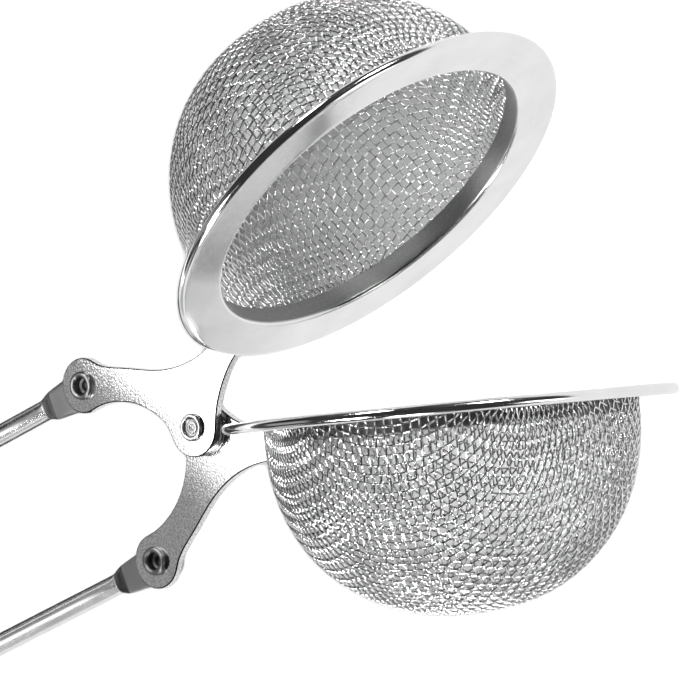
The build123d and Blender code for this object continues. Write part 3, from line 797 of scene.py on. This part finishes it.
# ---------------------------------------------------------------------------
# handle wire: each half runs from its flattened tab along the leg and round
# half of the bend
# ---------------------------------------------------------------------------
def half_wire(name, eye, z, sign, leg_body, node, also):
    x, y = eye
    xr = x - 7.5
    sides = 40
    st = []                                     # (centre, side axis, thick axis, half width, half thickness, power)
    sy = np.array([0.0, 1.0, 0.0])
    # rounded end of the tab, then the tab, the pressed shoulder and the round wire
    for a in np.linspace(88, 0, 14):
        w = 2.3 * math.cos(math.radians(a))
        st.append((np.array([x + 2.3 * math.sin(math.radians(a)), y, z]), sy, Z3, max(w, 0.05), 0.5, 5.0))
    for xx, w, t, pw in ((-1.6, 2.26, 0.5, 6.0), (-2.6, 2.18, 0.5, 6.0), (-4.0, 2.02, 0.5, 6.0), (-5.5, 1.84, 0.5, 6.0), (-6.3, 1.73, 0.505, 6.0),
                         (-6.6, 1.66, 0.53, 5.2), (-6.72, 1.60, 0.64, 4.2), (-6.84, 1.54, 0.84, 3.4), (-6.96, 1.48, 1.0, 2.9),
                         (-7.15, 1.40, 1.09, 2.5), (-7.45, 1.30, 1.15, 2.2), (-7.8, 1.22, 1.19, 2.05), (-8.3, 1.2, 1.2, 2.0)):
        st.append((np.array([x + xx, y, z]), sy, Z3, w, t, pw))
    n = 60
    for k in range(1, n + 1):
        st.append((np.array([xr - 0.8 + (X_BEND - xr + 0.8) * k / n, y, z]), sy, Z3, WIRE_R, WIRE_R, 2.0))
    mid = np.array([X_BEND, (RA[1] + RB[1]) / 2, (ZU + ZL) / 2])
    along = np.array([0, RA[1] - RB[1], ZU - ZL]) / (2 * BEND_R)
    nrm = np.cross(np.array([1.0, 0, 0]), along)
    for k in range(1, 41):
        a = math.pi / 2 * k / 40
        rad = sign * math.cos(a) * along + math.sin(a) * np.array([-1.0, 0, 0])
        c = mid + BEND_R * rad
        side = sign * rad if True else sy
        w = k / 40.0
        st.append((c, sign * rad, nrm if nrm[2] > 0 else -nrm, WIRE_R * (1 - 0.02 * math.sin(a)), WIRE_R, 2.0))
    ang = np.arange(sides) / sides * 2 * math.pi
    V, S = [], [0.0]
    for k, (c, sa, ta, w, t, pw) in enumerate(st):
        cs, sn = np.cos(ang), np.sin(ang)
        e = 2.0 / pw
        px = np.sign(cs) * np.abs(cs) ** e * w
        py = np.sign(sn) * np.abs(sn) ** e * t
        V.append(c + px[:, None] * sa + py[:, None] * ta)
        if k:
            S.append(S[-1] + np.linalg.norm(c - st[k - 1][0]))
    m = len(st)
    V = np.concatenate(V)
    i, j = np.meshgrid(np.arange(m - 1), np.arange(sides), indexing="ij")
    j2 = (j + 1) % sides
    f = np.stack([i * sides + j, i * sides + j2, (i + 1) * sides + j2, (i + 1) * sides + j], -1).reshape(-1, 4)
    S = np.array(S)
    tab_end = [S[q] for q in range(len(st)) if abs(st[q][0][0] - (x - 6.3)) < 1e-6][0]
    S = S - tab_end + 8.7
    per = 2 * math.pi * WIRE_R
    u0, u1 = S[i], S[i + 1]
    w0, w1 = j / sides * per, (j + 1) / sides * per
    uv = np.stack([np.stack([u0, w0], -1), np.stack([u0, w1], -1), np.stack([u1, w1], -1), np.stack([u1, w0], -1)], 2).reshape(-1, 2)
    faces = [tuple(q) for q in f.tolist()] + [tuple(range(sides))[::-1], tuple(range((m - 1) * sides, m * sides))]
    uvs = np.concatenate([uv, np.tile([[0.0, 0.0]], (sides, 1)), np.tile([[S[-1], 0.0]], (sides, 1))])
    ob = make(name, V, faces, leg_body, M_WIRE, uvs, sharp=40, ride=False)
    import bmesh
    bm = bmesh.new()
    bm.from_mesh(ob.data)
    bmesh.ops.recalc_face_normals(bm, faces=bm.faces)
    bm.to_mesh(ob.data)
    bm.free()
    e = to_row([X_BEND + 9.0, y, z])[0]
    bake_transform(ob)
    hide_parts(node, *also)
    return ob


half_wire("handle_wire_upper", RA, ZU, 1.0, "upper_leg", "upper_handle_leg", ["handle_bend"])
half_wire("handle_wire_lower", RB, ZL, -1.0, "lower_leg", "lower_handle_leg", ["handle_bend"])

# ---------------------------------------------------------------------------
# studio: pale floor, one large soft key, side panels
# ---------------------------------------------------------------------------
scene = bpy.context.scene
scene.view_settings.view_transform = "Standard"
scene.view_settings.look = "None"

mf, nt, b = nodes_of("studio_floor")
b.inputs["Metallic"].default_value = 0.0
b.inputs["Specular IOR Level"].default_value = 0.0
b.inputs["Roughness"].default_value = 1.0
fl = noise(nt, coords(nt, "Object", (1, 1, 1)), 6.0, 2.0)
nt.links.new(ramp(nt, fl, [(0.3, (0.90, 0.90, 0.90)), (0.7, (0.93, 0.93, 0.93))]), b.inputs["Base Color"])
b.inputs["Emission Color"].default_value = (1, 1, 1, 1)
b.inputs["Emission Strength"].default_value = 0.0
me = bpy.data.meshes.new("studio_floor")
h = 3.0
me.from_pydata([(-h, -h, -0.0002), (h, -h, -0.0002), (h, h, -0.0002), (-h, h, -0.0002)], [], [(0, 1, 2, 3)])
me.materials.append(mf)
floor = bpy.data.objects.new("studio_floor", me)
scene.collection.objects.link(floor)

world = bpy.data.worlds.new("studio")
scene.world = world
world.use_nodes = True
bg = world.node_tree.nodes["Background"]
bg.inputs[0].default_value = (1, 1, 1, 1)
bg.inputs[1].default_value = 0.03

CAM_C = np.array([355.5, -113.25, 428.23])
FWD = np.array([-0.59973, 0.20731, -0.77289])
RIGHT = np.array([0.7058, -0.31809, -0.63299])
DOWN = np.array([-0.37707, -0.92512, 0.04445])
F_PX = 5000.0


def card(name, centre, facing, w, h, radiance, xdir=None, soft=(0.12, 0.12, 0.12, 0.12)):
    """Soft box seen only in reflections: centre, facing and xdir in the tool frame (mm).
    soft: share of the width or height over which the light fades at -x, +x, -y and +y."""
    m = bpy.data.materials.new(name)
    m.use_nodes = True
    nt = m.node_tree
    nt.nodes.clear()
    out = nt.nodes.new("ShaderNodeOutputMaterial")
    e = nt.nodes.new("ShaderNodeEmission")
    uv = nt.nodes.new("ShaderNodeTexCoord").outputs["UV"]
    sep = nt.nodes.new("ShaderNodeSeparateXYZ")
    nt.links.new(uv, sep.inputs[0])
    fall = None
    for k in (0, 1):
        for end in (0, 1):
            wd = soft[2 * k + end]
            r = remap(nt, sep.outputs[k], 0.0, wd, 0.0, 1.0) if end == 0 else remap(nt, sep.outputs[k], 1.0, 1.0 - wd, 0.0, 1.0)
            fall = r if fall is None else math_node(nt, "MULTIPLY", fall, r)
    nt.links.new(math_node(nt, "MULTIPLY", fall, radiance), e.inputs["Strength"])
    nt.links.new(e.outputs[0], out.inputs[0])
    z = row_dir(facing)
    x = row_dir(xdir) if xdir is not None else Vector((0, 0, 1)).cross(z)
    x = (x - z * x.dot(z)).normalized()
    y = z.cross(x)
    o = Vector(to_row(centre)[0])
    hw, hh = w * 0.0005, h * 0.0005
    me = bpy.data.meshes.new(name)
    me.from_pydata([o - x * hw - y * hh, o + x * hw - y * hh, o + x * hw + y * hh, o - x * hw + y * hh], [], [(0, 1, 2, 3)])
    lay = me.uv_layers.new(name="UVMap")
    for k, c in enumerate(((0, 0), (1, 0), (1, 1), (0, 1))):
        lay.data[k].uv = c
    me.materials.append(m)
    ob = bpy.data.objects.new(name, me)
    scene.collection.objects.link(ob)
    ob.visible_camera = False
    ob.visible_diffuse = False
    ob.visible_shadow = False
    return ob


def at(target, frm, distance):
    d = np.array(frm, float)
    return np.array(target, float) + distance * d / np.linalg.norm(d)


# key light on the camera axis, so that the shadows lie behind the object
key = bpy.data.lights.new("key", "POINT")
key.energy = 25.0
key.shadow_soft_size = 0.012
key_ob = bpy.data.objects.new("key", key)
scene.collection.objects.link(key_ob)
key_ob.location = Vector(to_row(CAM_C - 1.0 * DOWN)[0])
key_ob.visible_glossy = False

mirror = FWD - 2 * FWD[2] * np.array([0, 0, 1.0])
edge = np.array([0.847, 0.531, 0.0])
across = np.array([-0.531, 0.847, 0.0])
over = mirror / mirror[2] * 26.0
UP_ROW = np.array([BASIS[2, 0], 0.0, BASIS[2, 2]])
# the plates mirror these cards on their bowl side only; they fade towards the handle, slowly
# on the lower plate
card("plate_card_0", (-2.8 + 12.5) * edge + (2.0 + 10.0) * across + over, Z3, 25, 20, 5.0, xdir=edge, soft=(0.14, 0.05, 0.01, 0.05))
card("plate_card_1", (-7.8 + 14.0) * edge + (2.0 - 11.0) * across + over, Z3, 28, 22, 4.6, xdir=edge, soft=(0.42, 0.05, 0.05, 0.01))
card("plate_fill", at([-12, 0, 0], mirror, 190), -mirror, 120, 130, 0.34)
for k, y0 in enumerate((RA[1], RB[1])):
    card("rod_card_%d" % k, [-70.0, y0 - 1.6, 11.0], Z3, 76, 11.5, 1.5, xdir=[1, 0, 0], soft=(0.05, 0.05, 0.15, 0.35))
card("rod_fill", [-72.0, -46.0, 30.0], [0, 1, 0], 84, 96, 0.46, xdir=[1, 0, 0], soft=(0.05, 0.05, 0.05, 0.05))
card("over_card", at([20, 0, 0], [-0.36, -0.46, 0.80], 500), [0.36, 0.46, -0.80], 115, 115, 60.0)
card("top_card", at([20, 10, 0], [0.12, 0.80, 0.58], 500), [-0.12, -0.80, -0.58], 105, 90, 40.0)
card("right_card", at([30, -10, 0], [0.80, 0.50, 0.33], 450), [-0.80, -0.50, -0.33], 90, 90, 45.0)
card("low_card", at([20, 0, 0], [-0.30, -0.90, 0.30], 500), [0.30, 0.90, -0.30], 100, 80, 40.0)
card("right_fill", at([20, -10, 0], [0.78, -0.62, 0.06], 500), [-0.78, 0.62, -0.06], 210, 210, 3.2)


def on_floor(x, y, h):
    z = (h - to_row([x, y, 0])[0][2] * 1000) / BASIS[2, 2]
    return [x, y, z]


# the floor as the metal sees it: pale, a little darker round the hinge, a painted shadow of the lower bowl and plates
ob = card("floor_card", on_floor(0, 0, -0.1), UP_ROW, 1400, 1400, 0.92, xdir=[1, 0, 0], soft=(0.01, 0.01, 0.01, 0.01))
nt = ob.data.materials[0].node_tree
em = [n for n in nt.nodes if n.type == "EMISSION"][0]
old = em.inputs["Strength"].links[0].from_socket
# painted shadow: the card's light falls to 70% near the hinge
dist_n = nt.nodes.new("ShaderNodeVectorMath")
dist_n.operation = "DISTANCE"
nt.links.new(coords(nt, "Object", (1, 1, 1)), dist_n.inputs[0])
dist_n.inputs[1].default_value = to_row(on_floor(5, -24, 0))[0].tolist()
nt.links.new(math_node(nt, "MULTIPLY", old, remap(nt, dist_n.outputs["Value"], 0.003, 0.018, 0.70, 1.0)), em.inputs["Strength"])

# a dark card over the floor behind the handle, seen only in reflections: a painted dark reflection on the handle wire
card("dark_reflection_card", on_floor(-77, 46, -0.05), UP_ROW, 98, 106, 0.05, xdir=[1, 0, 0], soft=(0.02, 0.02, 0.02, 0.02))

# scrims: seen by nothing, they only take light off the floor behind the bowls
def scrim(name, pts, shade, clear):
    """shade: light let through; it rises to 1 where UV x passes the two values of clear."""
    me = bpy.data.meshes.new(name)
    pts = np.array(pts)
    me.from_pydata(to_row(pts[:, :3]).tolist(), [], [tuple(range(len(pts)))])
    lay = me.uv_layers.new(name="UVMap")
    for k in range(len(pts)):
        lay.data[k].uv = (pts[k, 3], 0)
    m = bpy.data.materials.new(name)
    m.use_nodes = True
    nt = m.node_tree
    nt.nodes.clear()
    so = nt.nodes.new("ShaderNodeOutputMaterial")
    st = nt.nodes.new("ShaderNodeBsdfTransparent")
    sep = nt.nodes.new("ShaderNodeSeparateXYZ")
    nt.links.new(coords(nt, "UV", (1, 1, 1)), sep.inputs[0])
    nt.links.new(ramp(nt, remap(nt, sep.outputs[0], clear[0], clear[1], 0.0, 1.0), [(0.0, (shade,) * 3), (1.0, (1.0,) * 3)]), st.inputs[0])
    nt.links.new(st.outputs[0], so.inputs[0])
    me.materials.append(m)
    ob = bpy.data.objects.new(name, me)
    scene.collection.objects.link(ob)
    ob.visible_camera = False
    ob.visible_glossy = False
    ob.visible_diffuse = False


t = np.linspace(0, 2 * math.pi, 49)[:-1]
u_, n_ = JAW["upper"]
ring = C * u_ + 1.4 * n_ + (RIM_IN - 0.3) * (np.cos(t)[:, None] * u_ + np.sin(t)[:, None] * Z3)
scrim("mouth_scrim", np.hstack([ring, 0 * t[:, None]]), 0.17, (0.5, 1.0))
u_, n_ = JAW["lower"]
side = np.cross(n_, FWD)
side /= np.linalg.norm(side)
side *= np.sign(side @ RIGHT)
t = np.linspace(0, math.pi, 49)
half = C * u_ + 2.2 * n_ + 19.9 * np.cos(t)[:, None] * side + 20.3 * np.sin(t)[:, None] * n_
scrim("bowl_scrim", np.hstack([half, 19.9 * np.cos(t)[:, None]]), 0.60, (3.0, 13.0))

cam = bpy.data.cameras.new("camera")
cam.sensor_width = 36.0
cam.lens = F_PX / 679.0 * 36.0
cam.clip_start, cam.clip_end = 0.01, 10.0
co = bpy.data.objects.new("camera", cam)
scene.collection.objects.link(co)
R = np.stack([BASIS @ RIGHT, -(BASIS @ DOWN), -(BASIS @ FWD)], 1)
mw = Matrix(np.vstack([np.hstack([R, to_row(CAM_C).reshape(3, 1)]), [0, 0, 0, 1]]).tolist())
co.matrix_world = mw
scene.camera = co
